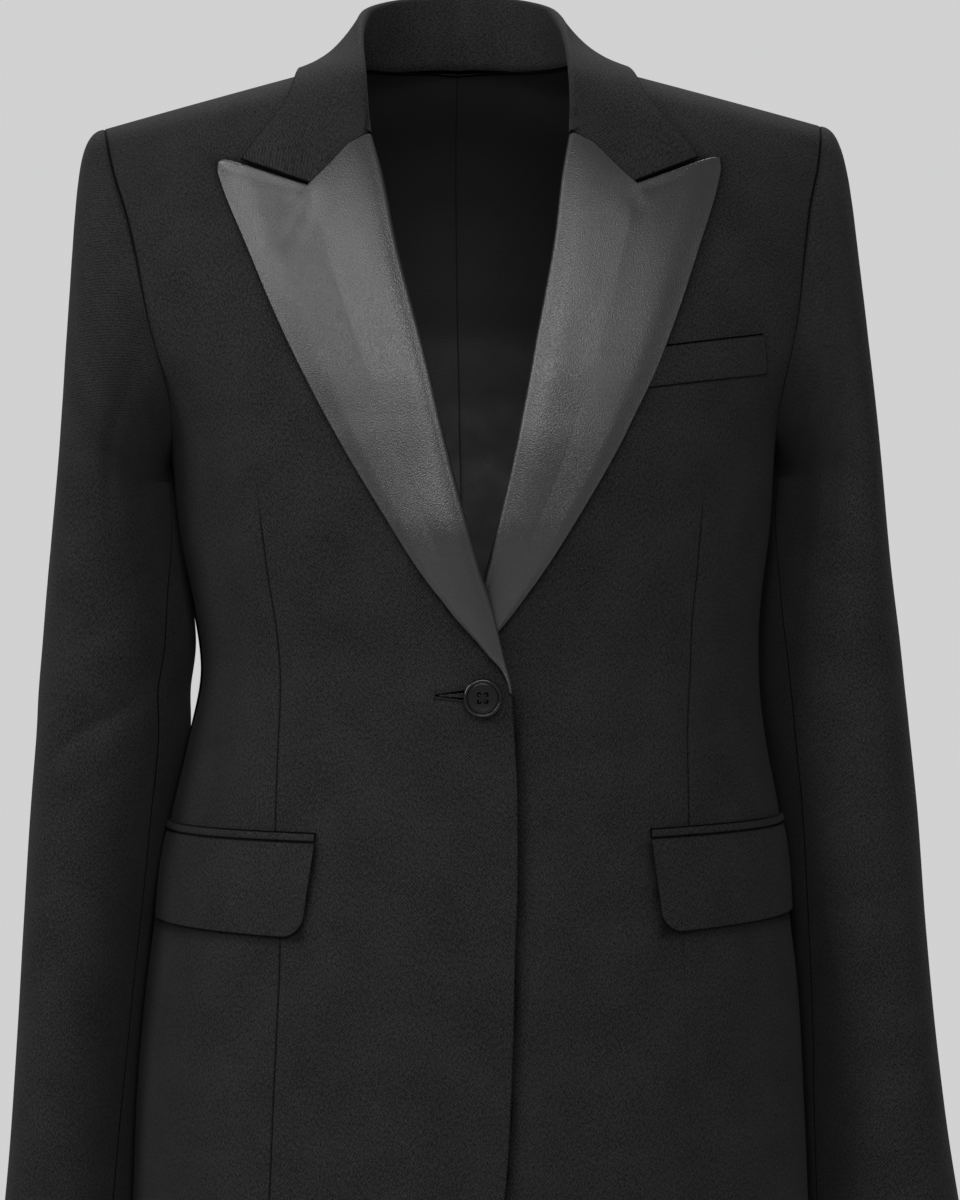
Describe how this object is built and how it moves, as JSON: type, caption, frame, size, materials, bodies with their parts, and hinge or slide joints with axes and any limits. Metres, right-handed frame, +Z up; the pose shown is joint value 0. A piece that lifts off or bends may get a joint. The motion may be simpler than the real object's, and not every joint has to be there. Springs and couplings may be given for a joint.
{
  "type": "tuxedo jacket",
  "caption": "Hollow single-breasted dinner jacket in black wool with satin peak lapels, flap pockets, a welt chest pocket and shaped sleeves, held in the form it is worn in.",
  "frame": {"origin": "midway between the two points where the shoulder seams meet the neck, where the jacket is carried on the wearer's shoulders", "axes": "+Z up along the body, -Y out of the front, +X to the wearer's left"},
  "size_m": [0.5739, 0.2557, 0.7877],
  "materials": {
    "wool": "matte black wool twill",
    "satin": "soft black satin sheen",
    "button": "polished near-black horn or resin"
  },
  "bodies": {
    "root": {"front_left": "wool", "front_right": "wool", "back_left": "wool", "back_right": "wool", "lapel_left": "satin", "lapel_right": "satin", "collar": "wool", "top_sleeve_left": "wool", "top_sleeve_right": "wool", "under_sleeve_left": "wool", "under_sleeve_right": "wool", "pocket_flap_left": "wool", "pocket_flap_right": "wool", "pocket_jet_left": "wool", "pocket_jet_right": "wool", "chest_welt": "wool", "front_button": "button"}
  },
  "joints": []
}
